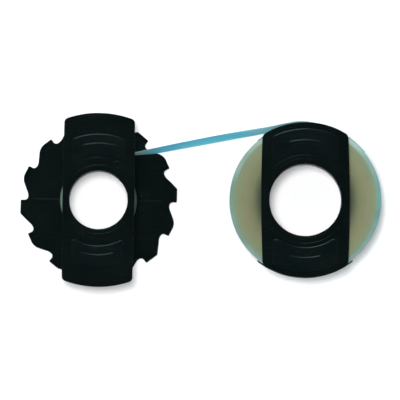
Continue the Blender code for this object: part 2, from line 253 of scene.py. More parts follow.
def panel_outline(inner, outer, width, corner):
    """A ring stretch across the Y axis with straight sides and rounded corners."""
    x = width - corner
    top_spread = math.asin(x / (outer - corner))
    low_spread = math.asin(x / (inner + corner))
    top_y = (outer - corner) * math.cos(top_spread)
    low_y = (inner + corner) * math.cos(low_spread)
    right = arc(inner, math.pi / 2, math.pi / 2 - low_spread, 18)
    right += arc(corner, -math.pi / 2 - low_spread, 0, 10, (x, low_y))
    right += arc(corner, 0, math.pi / 2 - top_spread, 8, (x, top_y))
    right += arc(outer, math.pi / 2 - top_spread, math.pi / 2, 18)[1:]
    left = [Vector((-p.x, p.y)) for p in reversed(right[1:-1])]
    return right + left


def rib_outline(radius, width, half_angle):
    """An arc-shaped rib with round ends, across the Y axis."""
    start, stop = math.pi / 2 - half_angle, math.pi / 2 + half_angle
    outer = arc(radius + width / 2, start, stop, 30)
    far_end = arc(width / 2, stop, stop + math.pi, 8, polar(radius, stop))[1:-1]
    inner = arc(radius - width / 2, stop, start, 30)
    near_end = arc(width / 2, start - math.pi, start, 8, polar(radius, start))[1:-1]
    return outer + far_end + inner + near_end


def bar_outline(start, stop, width):
    """A straight bar along X with round ends."""
    radius = width / 2
    far_end = arc(radius, -math.pi / 2, math.pi / 2, 8, (stop - radius, 0))
    return far_end + arc(radius, math.pi / 2, math.pi * 1.5, 8, (start + radius, 0))


def boss_outline(radius, half_span):
    """A disc whose two sides are cut off straight at +X and -X."""
    spread = math.asin(min(half_span / radius, 1))
    return mirrored(arc(radius, math.pi / 2 - spread, math.pi / 2, 24))


def tooth_back(heel, bottom, fillet_angle):
    """The falling back of a tooth, a cubic curve from its heel to the root fillet."""
    fall = polar(BACK_FALL, LAND_ANGLE + math.pi / 2 + BACK_SLOPE)
    glide = polar(BACK_GLIDE, fillet_angle - math.pi / 2)
    steps = 16
    back = []
    for i in range(1, steps):
        t = i / steps
        near = heel * (1 - t) ** 3 + (heel + fall) * 3 * t * (1 - t) ** 2
        far = (bottom + glide) * 3 * t * t * (1 - t) + bottom * t**3
        back.append(near + far)
    return back


def tooth_outline(heel_round):
    """One ratchet tooth counterclockwise: steep face, land, falling back and root fillet."""
    pitch = math.tau / TEETH
    fillet_centre = ROOT + ROOT_FILLET
    fillet_turn = math.asin(ROOT_FILLET / fillet_centre)
    fillet_angle = pitch - fillet_turn
    tip = polar(TIP, 0)
    heel = polar(HEEL, LAND_ANGLE)
    back = tooth_back(heel, polar(ROOT, fillet_angle), fillet_angle)
    centre = polar(fillet_centre, fillet_angle)
    fillet = arc(ROOT_FILLET, fillet_angle + math.pi, pitch + math.pi / 2, 10, centre)
    face_foot = polar(fillet[-1].length, math.atan2(fillet[-1].y, fillet[-1].x) - pitch)
    tip_bend = rounded_corner(face_foot, tip, heel, TIP_ROUND)
    heel_bend = rounded_corner(tip, heel, back[1], heel_round, 10)
    fall_on = [p for p in back if (p - heel).length > (heel_bend[-1] - heel).length]
    return tip_bend + heel_bend + fall_on + fillet


def ratchet_outline():
    """All teeth, some with sharp heels and the others with round ones."""
    points = []
    for i in range(TEETH):
        turn = math.tau * i / TEETH
        heel_round = SHARP_HEEL if i in SHARP_TEETH else ROUND_HEEL
        for point in tooth_outline(heel_round):
            points.append(polar(point.length, math.atan2(point.y, point.x) + turn))
    return points


def upright(outline, side):
    """The outline as drawn across +Y, or turned half round for side -1."""
    return [point * side for point in outline]


# ---------------------------------------------------------------- solids

def new_object(name, mesh):
    obj = bpy.data.objects.new(name, mesh)
    bpy.context.scene.collection.objects.link(obj)
    return obj


def thick_outline(name, outlines, thickness, edge, rounding):
    """The mesh of a filled outline, with any holes, made thick about the height 0."""
    curve = bpy.data.curves.new(name, "CURVE")
    curve.dimensions = "2D"
    curve.fill_mode = "BOTH"
    curve.extrude = thickness / 2 - edge
    curve.bevel_depth = edge
    curve.bevel_resolution = rounding
    curve.offset = -edge
    for points in outlines:
        spline = curve.splines.new("POLY")
        spline.points.add(len(points) - 1)
        for point, place in zip(spline.points, points, strict=True):
            point.co = (place[0], place[1], 0, 1)
        spline.use_cyclic_u = True
    outline = new_object(name, curve)
    graph = bpy.context.evaluated_depsgraph_get()
    mesh = bpy.data.meshes.new_from_object(outline.evaluated_get(graph))
    bpy.data.objects.remove(outline)
    return mesh


def plate(name, outlines, low, high, edge=0.0, rounding=3):
    """A flat outline, with any holes, made thick between two heights, its edges rounded."""
    mesh = thick_outline(name, outlines, high - low, edge, rounding)
    shape = bmesh.new()
    shape.from_mesh(mesh)
    bmesh.ops.remove_doubles(shape, verts=shape.verts, dist=WELD)
    bmesh.ops.translate(shape, vec=(0, 0, (low + high) / 2), verts=shape.verts)
    bmesh.ops.recalc_face_normals(shape, faces=shape.faces)
    shape.to_mesh(mesh)
    shape.free()
    return new_object(name, mesh)


def pillow(name, outline, base, top, slope):
    """A low plate whose rim falls away as a quarter ellipse, down to the height base."""
    almost_all = 0.999 * slope  # a plate that is all rounding would lose its middle
    made = plate(name, [outline], base - slope, base + slope, almost_all, rounding=7)
    flatten = Matrix.Diagonal((1, 1, (top - base) / slope, 1))
    lift = Matrix.Translation((0, 0, base))
    made.data.transform(lift @ flatten @ lift.inverted())
    return made


def turned(name, profile, centre=(0, 0), steps=ROUND_STEPS):
    """A closed profile of (radius, height) points, turned about an upright axis."""
    shape = bmesh.new()
    rings = []
    for radius, height in profile:
        ring_points = circle(radius, centre, steps)
        rings.append([shape.verts.new((p.x, p.y, height)) for p in ring_points])
    for i, ring_verts in enumerate(rings):
        lower = rings[(i + 1) % len(rings)]
        for j in range(steps):
            k = (j + 1) % steps
            shape.faces.new((ring_verts[j], lower[j], lower[k], ring_verts[k]))
    bmesh.ops.recalc_face_normals(shape, faces=shape.faces)
    mesh = bpy.data.meshes.new(name)
    shape.to_mesh(mesh)
    shape.free()
    return new_object(name, mesh)


def ring(name, inner, outer, low, high, centre=(0, 0), steps=ROUND_STEPS):
    profile = [(inner, high), (outer, high), (outer, low), (inner, low)]
    return turned(name, profile, centre, steps)


def sector(name, inner, outer, middle, half_angle, low, high, edge=0.0):
    """A stretch of ring, centred on the angle middle."""
    steps = 40
    start, stop = middle - half_angle, middle + half_angle
    outline = arc(outer, start, stop, steps) + arc(inner, stop, start, steps)
    return plate(name, [outline], low, high, edge)


def block(name, low, high):
    """A box between two corners, given as an outline made thick."""
    corners = [(low[0], low[1]), (high[0], low[1]), (high[0], high[1]), (low[0], high[1])]
    return plate(name, [corners], low[2], high[2])


def combine(base, other, operation="UNION"):
    modifier = base.modifiers.new(other.name, "BOOLEAN")
    modifier.operation = operation
    modifier.solver = "EXACT"
    modifier.object = other


def settle(obj):
    """Makes the modifiers' result the object's own mesh, and removes the helpers."""
    graph = bpy.context.evaluated_depsgraph_get()
    mesh = bpy.data.meshes.new_from_object(obj.evaluated_get(graph))
    helpers = [m.object for m in obj.modifiers if m.type == "BOOLEAN"]
    obj.modifiers.clear()
    obj.data = mesh
    for helper in helpers:
        bpy.data.objects.remove(helper)


def make_piece(obj, material, body, node, turn=0.0):
    """Finishes a piece: material, shading, its place on the spool's axis and the body it rides."""
    settle(obj)
    obj.data.materials.clear()
    obj.data.materials.append(material)
    obj.data.shade_smooth()
    obj.data.set_sharp_from_angle(angle=SHARP_ANGLE)
    normals = obj.modifiers.new("normals", "WEIGHTED_NORMAL")
    normals.keep_sharp = True
    obj.data.transform(Matrix.Rotation(turn, 4, "Z"))
    if body in AXIS:
        obj.location = (AXIS[body].x, AXIS[body].y, 0)
    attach(obj, body)
    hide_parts(node)


# ---------------------------------------------------------------- material helpers

def srgb(red, green, blue):
    """An sRGB colour, 0 to 255, as the linear colour that a shader takes."""
    shares = [channel / 255 for channel in (red, green, blue)]
    return (*(s / 12.92 if s <= 0.04045 else ((s + 0.055) / 1.055) ** 2.4 for s in shares), 1)


def add_node(tree, kind, inputs=None, **settings):
    made = tree.nodes.new(kind)
    for name, value in settings.items():
        setattr(made, name, value)
    for name, value in (inputs or {}).items():
        if isinstance(value, bpy.types.NodeSocket):
            tree.links.new(value, made.inputs[name])
        else:
            made.inputs[name].default_value = value
    return made


def new_material(name):
    material = bpy.data.materials.new(name)
    material.use_nodes = True
    tree = material.node_tree
    return material, tree, tree.nodes["Principled BSDF"]


def millimetres(tree):
    """A point's place in its piece, in millimetres from the spool's axis."""
    place = add_node(tree, "ShaderNodeTexCoord").outputs["Object"]
    made = add_node(tree, "ShaderNodeVectorMath", {0: place, "Scale": 1 / MM}, operation="SCALE")
    return made.outputs["Vector"]


def grain(tree, place, size, detail=2.0, roughness=0.5):
    """Soft noise, 0 to 1, whose patches are about size millimetres wide."""
    inputs = {"Vector": place, "Scale": 1 / size, "Detail": detail, "Roughness": roughness}
    return add_node(tree, "ShaderNodeTexNoise", inputs).outputs["Fac"]


def mapped(tree, value, from_low, from_high, to_low, to_high):
    inputs = {
        "Value": value, "From Min": from_low, "From Max": from_high,
        "To Min": to_low, "To Max": to_high,
    }
    return add_node(tree, "ShaderNodeMapRange", inputs).outputs["Result"]


def from_noise(tree, noise_value, low, high):
    """Soft noise, spread out between two values."""
    return mapped(tree, noise_value, NOISE_LOW, NOISE_HIGH, low, high)


def math_node(tree, operation, first, second=0.0):
    made = add_node(tree, "ShaderNodeMath", {0: first, 1: second}, operation=operation)
    return made.outputs["Value"]


def ramp(tree, value, stops):
    """A colour for each value, from (value, colour) stops."""
    made = add_node(tree, "ShaderNodeValToRGB", {"Fac": value})
    elements = made.color_ramp.elements
    for _ in range(len(stops) - len(elements)):
        elements.new(0.5)
    for element, (position, colour) in zip(elements, stops, strict=True):
        element.position = position
        element.color = colour
    return made.outputs["Color"]


def blended(tree, share, low, high):
    """A colour between two, low at share 0 and high at share 1."""
    factor, first_colour, second_colour, colour_result = 0, 6, 7, 2  # the node's colour sockets
    inputs = {factor: share, first_colour: low, second_colour: high}
    return add_node(tree, "ShaderNodeMix", inputs, data_type="RGBA").outputs[colour_result]


def component(tree, vector, axis):
    """A vector's X, Y or Z."""
    return add_node(tree, "ShaderNodeSeparateXYZ", {"Vector": vector}).outputs[axis]


def levelness(tree, normal):
    """How level the surface is, from 0 on an upright wall to 1 on a flat face."""
    facing = add_node(tree, "ShaderNodeNewGeometry").outputs[normal]
    return math_node(tree, "ABSOLUTE", component(tree, facing, "Z"))


def tinted(tree, colour, tone):
    """The colour, made lighter or darker by the tone, which is about 1."""
    made = add_node(tree, "ShaderNodeVectorMath", {0: colour, "Scale": tone}, operation="SCALE")
    return made.outputs["Vector"]


def bumped(tree, height, depth, under=None):
    """A normal from a height of 0 to 1 that stands for a depth in metres."""
    inputs = {"Height": height, "Distance": depth, "Strength": 1.0}
    if under is not None:
        inputs["Normal"] = under
    return add_node(tree, "ShaderNodeBump", inputs).outputs["Normal"]


def stretched(tree, place, turn, along, across):
    """The place turned about Z and squeezed, so that noise on it makes long hairlines."""
    inputs = {
        "Vector": place, "Rotation": (0, 0, math.radians(turn)),
        "Scale": (1 / along, 1 / across, 1 / across),
    }
    return add_node(tree, "ShaderNodeMapping", inputs).outputs["Vector"]


def from_axis(tree, place):
    """How far the point is from the spool's axis, in millimetres."""
    flat = add_node(tree, "ShaderNodeVectorMath", {0: place, 1: (1, 1, 0)}, operation="MULTIPLY")
    length = add_node(tree, "ShaderNodeVectorMath", {0: flat.outputs["Vector"]}, operation="LENGTH")
    return length.outputs["Value"]


def layer_tone(tree, radius, height, thickness):
    """Noise that changes from layer to layer of a winding and hardly along one."""
    layer = math_node(tree, "DIVIDE", radius, thickness)
    drift = 0.05  # change per millimetre of height
    level = math_node(tree, "MULTIPLY", height, drift)
    place = add_node(tree, "ShaderNodeCombineXYZ", {"X": layer, "Y": level}).outputs["Vector"]
    inputs = {"Vector": place, "Scale": 1.0, "Detail": 2.0, "Roughness": 0.7}
    return add_node(tree, "ShaderNodeTexNoise", inputs).outputs["Fac"]


# ---------------------------------------------------------------- materials

def hairlines(tree, place):
    """Fine scratches in two directions, 1 on a scratch and 0 beside it."""
    along_place = stretched(tree, place, turn=28, along=9.0, across=0.05)
    cross_place = stretched(tree, place, turn=-52, along=7.0, across=0.06)
    along = grain(tree, along_place, size=1.0, detail=1)
    cross = grain(tree, cross_place, size=1.0, detail=1)
    return mapped(tree, math_node(tree, "MAXIMUM", along, cross), 0.68, 0.76, 0.0, 1.0)


def black_roughness(tree, smear, fine, hairline):
    """Glossy where level, with smears, grain and scratches, and duller on upright walls."""
    gloss = from_noise(tree, smear, 0.2, 0.27)
    grainy = from_noise(tree, fine, -0.03, 0.03)
    rough = math_node(tree, "ADD", gloss, grainy)
    scuffed = math_node(tree, "ADD", math_node(tree, "MULTIPLY", hairline, 0.12), rough)
    dull = mapped(tree, levelness(tree, "Normal"), 0.35, 0.75, 0.3, 0.0)
    return math_node(tree, "ADD", scuffed, dull)


def black_plastic():
    """Glossy black styrene with a faint teal cast, a little paler on the raised grip panels."""
    material, tree, shader = new_material("black_plastic")
    place = millimetres(tree)
    smear = grain(tree, place, size=6.0, detail=3)
    fine = grain(tree, place, size=0.22, detail=4, roughness=0.6)
    hairline = hairlines(tree, place)
    body = ramp(tree, smear, [(0.32, srgb(3, 9, 9)), (0.68, srgb(6, 12, 12))])
    panel_foot = (UPPER_HIGH + BOSS_RISE) / MM
    height = component(tree, place, "Z")
    # paler from the grip panels' foot up to their top
    panel_paler = mapped(tree, height, panel_foot, PANEL_TOP / MM, 1.0, 1.35)
    tree.links.new(tinted(tree, body, panel_paler), shader.inputs["Base Color"])
    rough = black_roughness(tree, smear, fine, hairline)
    tree.links.new(rough, shader.inputs["Roughness"])
    shader.inputs["Specular IOR Level"].default_value = 0.3
    skin = bumped(tree, fine, depth=0.004 * MM)
    scratched = bumped(tree, hairline, depth=-0.003 * MM, under=skin)
    tree.links.new(scratched, shader.inputs["Normal"])
    return material


def tape_colour_with_shade(tree, radius):
    """Olive beige, darker towards the hub as painted shade where the upper flange's edge shades the
    roll, and a little greener outside.
    """
    share = mapped(tree, radius, SUPPLY_HUB / MM, TAPE_OUTER / MM, 0.0, 1.0)
    # painted shade: the stops darken towards the hub, next to the upper flange's edge
    return ramp(tree, share, [
        (0.0, srgb(46, 50, 39)), (0.15, srgb(70, 77, 61)), (0.26, srgb(90, 98, 75)),
        (0.37, srgb(106, 111, 85)), (0.48, srgb(116, 118, 90)), (0.68, srgb(123, 125, 97)),
        (0.88, srgb(122, 130, 102)), (1.0, srgb(117, 135, 110)),
    ])


def lift_off_tape():
    """The wound tape's edge: pale olive layers, each a little different, with a satin sheen, and
    painted shade towards the hub and on its -X side.
    """
    material, tree, shader = new_material("lift_off_tape")
    place = millimetres(tree)
    radius = from_axis(tree, place)
    layers = layer_tone(tree, radius, component(tree, place, "Z"), thickness=0.16)
    cloud = grain(tree, place, size=3.0, detail=3)
    tone = math_node(tree, "MULTIPLY", from_noise(tree, layers, 0.93, 1.06),
                     from_noise(tree, cloud, 0.97, 1.03))
    reach = TAPE_OUTER / MM
    # painted shade: the tape is made a little darker on its -X side
    painted_side_shade = mapped(tree, component(tree, place, "X"), -reach, reach, 0.94, 1.01)
    tone = math_node(tree, "MULTIPLY", tone, painted_side_shade)
    body = tinted(tree, tape_colour_with_shade(tree, radius), tone)
    tree.links.new(body, shader.inputs["Base Color"])
    tree.links.new(from_noise(tree, layers, 0.48, 0.62), shader.inputs["Roughness"])
    tree.links.new(bumped(tree, layers, depth=0.02 * MM), shader.inputs["Normal"])
    shader.inputs["Specular IOR Level"].default_value = 0.35
    return material


def uneven_edge(tree, axes, share, edge, blue, milky):
    """The edge colour, bluer on the far side and milky at both ends, most of all at its rim."""
    rim = mapped(tree, share, 0.0, 0.5, 0.3, 1.0)
    far = mapped(tree, axes["X"], 6.0, 15.0, 0.0, 0.7)
    off = mapped(tree, math_node(tree, "ABSOLUTE", axes["Y"]), 2.0, 12.0, 0.0, 0.7)
    edge = blended(tree, math_node(tree, "MULTIPLY", far, rim), edge, blue)
    return blended(tree, math_node(tree, "MULTIPLY", off, rim), edge, milky)


def wound_film(name, inner, outer, edges, wall, lit_side, tones, shades=None):
    """Leader film, many turns deep: pale edges that change outwards, a clearer outer wall.

    Its edge carries painted light and shade: tones gives the edge's lightness opposite the lit side
    and on that side, and shades the colours that the edge takes on in places.
    """
    material, tree, shader = new_material(name)
    place = millimetres(tree)
    radius = from_axis(tree, place)
    axes = add_node(tree, "ShaderNodeSeparateXYZ", {"Vector": place}).outputs
    layers = layer_tone(tree, radius, axes["Z"], thickness=0.09)
    cloud = grain(tree, place, size=5.0, detail=2)
    across = add_node(tree, "ShaderNodeVectorMath", {0: place, 1: lit_side},
                      operation="DOT_PRODUCT").outputs["Value"]
    # painted light and shade: the edge is lighter on the lit side and darker opposite it
    painted_side_light = mapped(tree, across, -inner / MM, inner / MM, *tones)
    share = mapped(tree, radius, inner / MM, outer / MM, 0.0, 1.0)
    edge = ramp(tree, share, edges)
    if shades:
        edge = uneven_edge(tree, axes, share, edge, *shades)
    edge = tinted(tree, edge, painted_side_light)
    flat = mapped(tree, levelness(tree, "True Normal"), 0.3, 0.7, 0.0, 1.0)
    body = blended(tree, flat, wall, edge)
    tone = math_node(tree, "MULTIPLY", from_noise(tree, layers, 0.9, 1.08),
                     mapped(tree, cloud, 0.35, 0.65, 0.88, 1.06))
    tree.links.new(tinted(tree, body, tone), shader.inputs["Base Color"])
    tree.links.new(from_noise(tree, layers, 0.3, 0.42), shader.inputs["Roughness"])
    tree.links.new(bumped(tree, layers, depth=0.008 * MM), shader.inputs["Normal"])
    shader.inputs["Specular IOR Level"].default_value = 0.2
    return material


def film_tones(tree, place, stops):
    """A colour for each place along the film, from (millimetres, colour) stops."""
    west, east = stops[0][0], stops[-1][0]
    along = mapped(tree, place, west, east, 0.0, 1.0)
    return ramp(tree, along, [((x - west) / (east - west), colour) for x, colour in stops])


def sheet_colour(tree, axes):
    """Darker over the take-up hub, greyer just beyond the take-up flange, and paler towards its
    upper edge near the roll, which is painted light.
    """
    shared = [
        (-27.0, srgb(60, 94, 98)), (-13.7, srgb(104, 134, 134)), (-10.8, srgb(87, 137, 143)),
        (-8.6, srgb(76, 153, 179)), (-4.3, srgb(85, 163, 184)), (4.0, srgb(86, 165, 184)),
    ]
    lower = film_tones(tree, axes["X"], [
        *shared, (8.3, srgb(96, 182, 200)), (13.0, srgb(146, 204, 214)),
        (18.0, srgb(128, 196, 208)), (35.0, srgb(114, 188, 206)),
    ])
    # painted light: the upper stops are paler near the roll
    upper = film_tones(tree, axes["X"], [
        *shared, (8.3, srgb(100, 187, 205)), (13.0, srgb(184, 222, 232)),
        (18.0, srgb(206, 232, 240)), (35.0, srgb(122, 194, 210)),
    ])
    low, high = FILM_LOW / MM, FILM_HIGH / MM
    painted_light_from = low + 0.2 * (high - low)
    share = mapped(tree, axes["Z"], painted_light_from, high, 0.0, 1.0)
    return blended(tree, share, lower, upper)


def sheet_film():
    """A single thickness of milky blue leader film, which lets light through, with painted light
    towards its upper edge near the roll.
    """
    material, tree, shader = new_material("sheet_film")
    place = millimetres(tree)
    axes = add_node(tree, "ShaderNodeSeparateXYZ", {"Vector": place}).outputs
    body = sheet_colour(tree, axes)
    rise = mapped(tree, axes["Z"], FILM_LOW / MM, FILM_HIGH / MM, 1.1, 0.96)
    drawn_out = stretched(tree, place, turn=10, along=30.0, across=1.5)
    streak = grain(tree, drawn_out, size=1.0, detail=2)
    tone = math_node(tree, "MULTIPLY", rise, from_noise(tree, streak, 0.96, 1.04))
    tree.links.new(tinted(tree, body, tone), shader.inputs["Base Color"])
    tree.links.new(from_noise(tree, streak, 0.4, 0.5), shader.inputs["Roughness"])
    shader.inputs["Specular IOR Level"].default_value = 0.0
    shader.inputs["Subsurface Weight"].default_value = 1.0
    shader.inputs["Subsurface Radius"].default_value = (1.0, 1.0, 1.0)
    shader.inputs["Subsurface Scale"].default_value = 0.3 * MM
    return material


def adhesive_film():
    """Milky adhesive tape with fine bubbles and a slightly uneven surface."""
    material, tree, shader = new_material("adhesive_film")
    place = millimetres(tree)
    cloud = grain(tree, place, size=1.2, detail=4)
    body = ramp(tree, cloud, [(0.35, srgb(214, 210, 190)), (0.65, srgb(232, 229, 213))])
    tree.links.new(body, shader.inputs["Base Color"])
    tree.links.new(from_noise(tree, cloud, 0.35, 0.55), shader.inputs["Roughness"])
    bubbles = grain(tree, place, size=0.3, detail=3)
    tree.links.new(bumped(tree, bubbles, depth=0.01 * MM), shader.inputs["Normal"])
    return material


def floor_paper():
    """Smooth white card."""
    material, tree, shader = new_material("floor_paper")
    place = millimetres(tree)
    cloud = grain(tree, place, size=40.0, detail=2)
    body = ramp(tree, cloud, [(0.3, srgb(243, 243, 244)), (0.7, srgb(246, 246, 246))])
    tree.links.new(body, shader.inputs["Base Color"])
    shader.inputs["Roughness"].default_value = 0.8
    shader.inputs["Specular IOR Level"].default_value = 0.1
    return material


# ---------------------------------------------------------------- black mouldings

def hub_tube(name, bore, collar, outer):
    """A hub from the underside up, with a wider seat at its top for an upper flange's collar."""
    lead = EDGE * 2
    lead_bend = lead * 0.3
    seat = collar + FIT
    soft = EDGE / 2
    rim_bend = soft * 0.6
    return turned(name, [
        (seat, FILM_HIGH - soft), (seat + soft, FILM_HIGH),
        (outer - EDGE, FILM_HIGH), (outer - rim_bend, FILM_HIGH - rim_bend),
        (outer, FILM_HIGH - EDGE), (outer, 0), (bore + lead, 0),
        (bore + lead_bend, lead_bend), (bore, lead), (bore, SEAT_LOW), (seat, SEAT_LOW),
    ])


def key_slots(spool, collar):
    """Two slots in the seat's wall, for the upper flange's keys."""
    half = SLOT_HALF_WIDTH
    for side, place in ((1, "east"), (-1, "west")):
        near, far = sorted((side * (collar - FIT), side * (collar + 2 * FIT)))
        low = (near, -half, KEY_LOW - FIT)
        slot = block(f"slot_{place}", low, (far, half, FILM_HIGH + OVERCUT))
        combine(spool, slot, "DIFFERENCE")


def tab_pocket(spool, radius):
    """A shallow pocket in a hub's wall, where its adhesive tab lies."""
    inner = radius - TAB - FIT / 2
    cut = sector("pocket", inner, radius + OVERCUT, TAB_PLACE, TAB_HALF_ANGLE + POCKET_MARGIN,
                 TAB_LOW - FIT / 2, TAB_HIGH + FIT / 2)
    combine(spool, cut, "DIFFERENCE")


def ejector_marks(spool):
    """Round marks that the mould's ejector pins leave in the underside."""
    for i in range(EJECTOR_COUNT):
        centre = polar(EJECTOR_PLACE, EJECTOR_START + math.tau * i / EJECTOR_COUNT)
        mark = ring(f"ejector_{i}", PINHOLE, EJECTOR_RADIUS, -OVERCUT, EJECTOR_DEPTH, centre, 40)
        combine(spool, mark, "DIFFERENCE")


def recessed_web(spool):
    """A shallow ring sunk into the ratchet's underside."""
    web = turned("web", [
        (WEB_INNER + WEB_SLOPE, WEB_DEPTH), (WEB_OUTER - WEB_SLOPE, WEB_DEPTH),
        (WEB_OUTER, -OVERCUT), (WEB_INNER, -OVERCUT),
    ])
    combine(spool, web, "DIFFERENCE")


def ratchet_spool(material):
    """The take-up spool's lower moulding: ratchet wheel with two radial ribs, and hub."""
    hole = circle((TAKEUP_BORE + TAKEUP_HUB) / 2)
    spool = plate("ratchet_spool", [ratchet_outline(), hole], 0, FLANGE, CRISP)
    combine(spool, hub_tube("tube", TAKEUP_BORE, TAKEUP_COLLAR, TAKEUP_HUB))
    for side, place in ((1, "east"), (-1, "west")):
        bar = upright(bar_outline(TAKEUP_HUB - EDGE, RATCHET_RIB_END, RIB_WIDTH), side)
        rib = plate(f"rib_{place}", [bar], FLANGE / 2, FLANGE + RATCHET_RIB_RISE, EDGE / 2)
        combine(spool, rib)
    recessed_web(spool)
    key_slots(spool, TAKEUP_COLLAR)
    tab_pocket(spool, TAKEUP_HUB)
    make_piece(spool, material, "takeup", "takeup_ratchet_spool", TAKEUP_TURN)


def supply_hub(material):
    """The supply spool's lower moulding: flat-sided flange and hub."""
    width, radius = LOWER_HALF_WIDTH, LOWER_RADIUS
    outline = ear_outline(width, width, radius, radius, EDGE * 2)
    hole = circle((SUPPLY_BORE + SUPPLY_HUB) / 2)
    spool = plate("supply_hub", [outline, hole], 0, FLANGE, CRISP)
    combine(spool, hub_tube("tube", SUPPLY_BORE, SUPPLY_COLLAR, SUPPLY_HUB))
    key_slots(spool, SUPPLY_COLLAR)
    tab_pocket(spool, SUPPLY_HUB)
    ejector_marks(spool)
    make_piece(spool, material, "supply", "supply_flanged_hub")


def grip_panels(flange, ear):
    """A raised panel with one rib on each end of an ear flange."""
    panel = panel_outline(ear.panel_in, ear.panel_out, ear.panel_width, ear.panel_corner)
    rib = rib_outline(ear.rib_radius, ear.rib_width, math.asin(ear.rib_reach / ear.rib_radius))
    for side, place in ((1, "north"), (-1, "south")):
        grip = pillow(f"panel_{place}", upright(panel, side), UPPER_HIGH - OVERLAP, PANEL_TOP,
                      PANEL_SLOPE)
        combine(flange, grip)
        line = pillow(f"rib_{place}", upright(rib, side), PANEL_TOP - OVERLAP, RIB_TOP,
                      ear.rib_slope)
        combine(flange, line)


def bore_trim(flange, ear, bore):
    """The low boss round the bore and the two bead arcs on it."""
    outline = boss_outline(ear.boss_radius, ear.mid_width - EDGE * 2)
    boss = plate("boss", [outline, circle(bore + EDGE * 2)], UPPER_LOW + EDGE,
                 UPPER_HIGH + BOSS_RISE, edge=BOSS_RISE * 0.8)
    combine(flange, boss)
    inner = ear.bead_radius - ear.bead_width / 2
    outer = ear.bead_radius + ear.bead_width / 2
    low, high = UPPER_HIGH - EDGE, UPPER_HIGH + BOSS_RISE + BEAD_RISE
    for side, place in ((1, "north"), (-1, "south")):
        bead = sector(f"bead_{place}", inner, outer, side * math.pi / 2, BEAD_HALF_ANGLE,
                      low, high, BEAD_ROUND)
        combine(flange, bead)


def flange_collar(flange, bore, collar):
    """The collar that plugs into the hub, with its two keys."""
    lead = EDGE
    profile = [
        (bore, UPPER_LOW + EDGE * 2), (collar, UPPER_LOW + EDGE * 2), (collar, PLUG_LOW + lead),
        (collar - lead, PLUG_LOW), (bore + lead / 2, PLUG_LOW), (bore, PLUG_LOW + lead / 2),
    ]
    combine(flange, turned("collar", profile))
    half = KEY_HALF_WIDTH
    for side, place in ((1, "east"), (-1, "west")):
        near, far = sorted((side * (bore + EDGE * 2), side * (collar + FIT)))
        key = block(f"key_{place}", (near, -half, KEY_LOW), (far, half, UPPER_LOW + EDGE))
        combine(flange, key)


def ear_flange(name, ear, bore, collar):
    """An upper flange: plate, grip panels with ribs, boss and beads round the bore, collar."""
    outline = ear_outline(ear.end_width, ear.mid_width, ear.length, ear.end_radius, ear.corner)
    flange = plate(name, [outline, circle(bore)], UPPER_LOW, UPPER_HIGH, CRISP)
    grip_panels(flange, ear)
    bore_trim(flange, ear, bore)
    flange_collar(flange, bore, collar)
    return flange


def mould_mark(flange):
    """A small plain ring beside the bore."""
    outline = [
        circle(MOULD_RING_OUTER, MOULD_RING_PLACE, 48),
        circle(MOULD_RING_INNER, MOULD_RING_PLACE, 32),
    ]
    low, high = UPPER_HIGH - EDGE, UPPER_HIGH + MOULD_RING_RISE
    combine(flange, plate("mould_mark", outline, low, high, MOULD_RING_ROUND))


def takeup_ear(material):
    flange = ear_flange("takeup_ear", TAKEUP_EAR, TAKEUP_BORE, TAKEUP_COLLAR)
    mould_mark(flange)
    make_piece(flange, material, "takeup", "takeup_ear_flange", TAKEUP_TURN)


def supply_ear(material):
    flange = ear_flange("supply_ear", SUPPLY_EAR, SUPPLY_BORE, SUPPLY_COLLAR)
    make_piece(flange, material, "supply", "supply_ear_flange")


# ---------------------------------------------------------------- tape and film

def wound_profile(inner, outer, low, high, layer, uneven, seed):
    """A winding's section: both faces show the edges of its layers, none quite level."""
    draw = random.Random(seed)
    count = round((outer - inner) / layer)
    pitch = (outer - inner) / count
    groove = pitch * GROOVE_SHARE
    top, bottom = [], []
    for i in range(count):
        start = inner + pitch * i
        rise, fall = draw.random() * uneven, draw.random() * uneven
        left = start + (groove if i else 0)
        right = start + pitch - (groove if i < count - 1 else 0)
        for face, level, notch in ((top, high - rise, -1), (bottom, low + fall, 1)):
            face += [(left, level), (right, level)]
            if i < count - 1:
                face.append((start + pitch, level + notch * groove * GROOVE_DEPTH))
    return top + bottom[::-1]


def winding(name, inner, outer, layer, uneven, seed):
    """A winding as wide as the tape."""
    profile = wound_profile(inner, outer, FILM_LOW, FILM_HIGH, layer, uneven, seed)
    return turned(name, profile)


def telescoped(obj):
    """Lets each face of a winding wander a little, as tape does where it was wound unevenly."""
    middle = (FILM_LOW + FILM_HIGH) / 2
    for vert in obj.data.vertices:
        radius = math.hypot(vert.co.x, vert.co.y)
        drift = noise.noise(Vector((vert.co.x, vert.co.y, radius * 2)) * WANDER_SCALE / MM)
        share = (drift + 1) / 2 * min(1, abs(vert.co.z - middle) / (middle - FILM_LOW))
        vert.co.z += WANDER * share * (-1 if vert.co.z > middle else 1)


def tape_roll(material):
    roll = winding("tape_roll", SUPPLY_HUB + CORE_GAP, TAPE_OUTER, TAPE_LAYER,
                   uneven=0.03 * MM, seed=4)
    telescoped(roll)
    make_piece(roll, material, "supply", "supply_tape_roll")


def supply_windings():
    """The leader's outer turns round the full roll: olive tape shows through at their inside, and
    painted light makes their edge paler on the +Y side.
    """
    edges = [
        (0.0, srgb(117, 136, 112)), (0.5, srgb(112, 138, 121)), (0.75, srgb(104, 138, 130)),
        (1.0, srgb(106, 144, 142)),
    ]
    bluer, milkier = srgb(89, 134, 138), srgb(144, 160, 154)
    # painted light: the edge is made paler towards the +Y side
    material = wound_film("supply_film", TAPE_OUTER, SUPPLY_FILM, edges, wall=srgb(120, 194, 208),
                          lit_side=(0.3, 1, 0), tones=(0.9, 1.3), shades=(bluer, milkier))
    turns = winding("supply_film_turns", TAPE_OUTER, SUPPLY_FILM, FILM_LAYER,
                    uneven=0.02 * MM, seed=8)
    telescoped(turns)
    make_piece(turns, material, "supply", "supply_leader_turns")


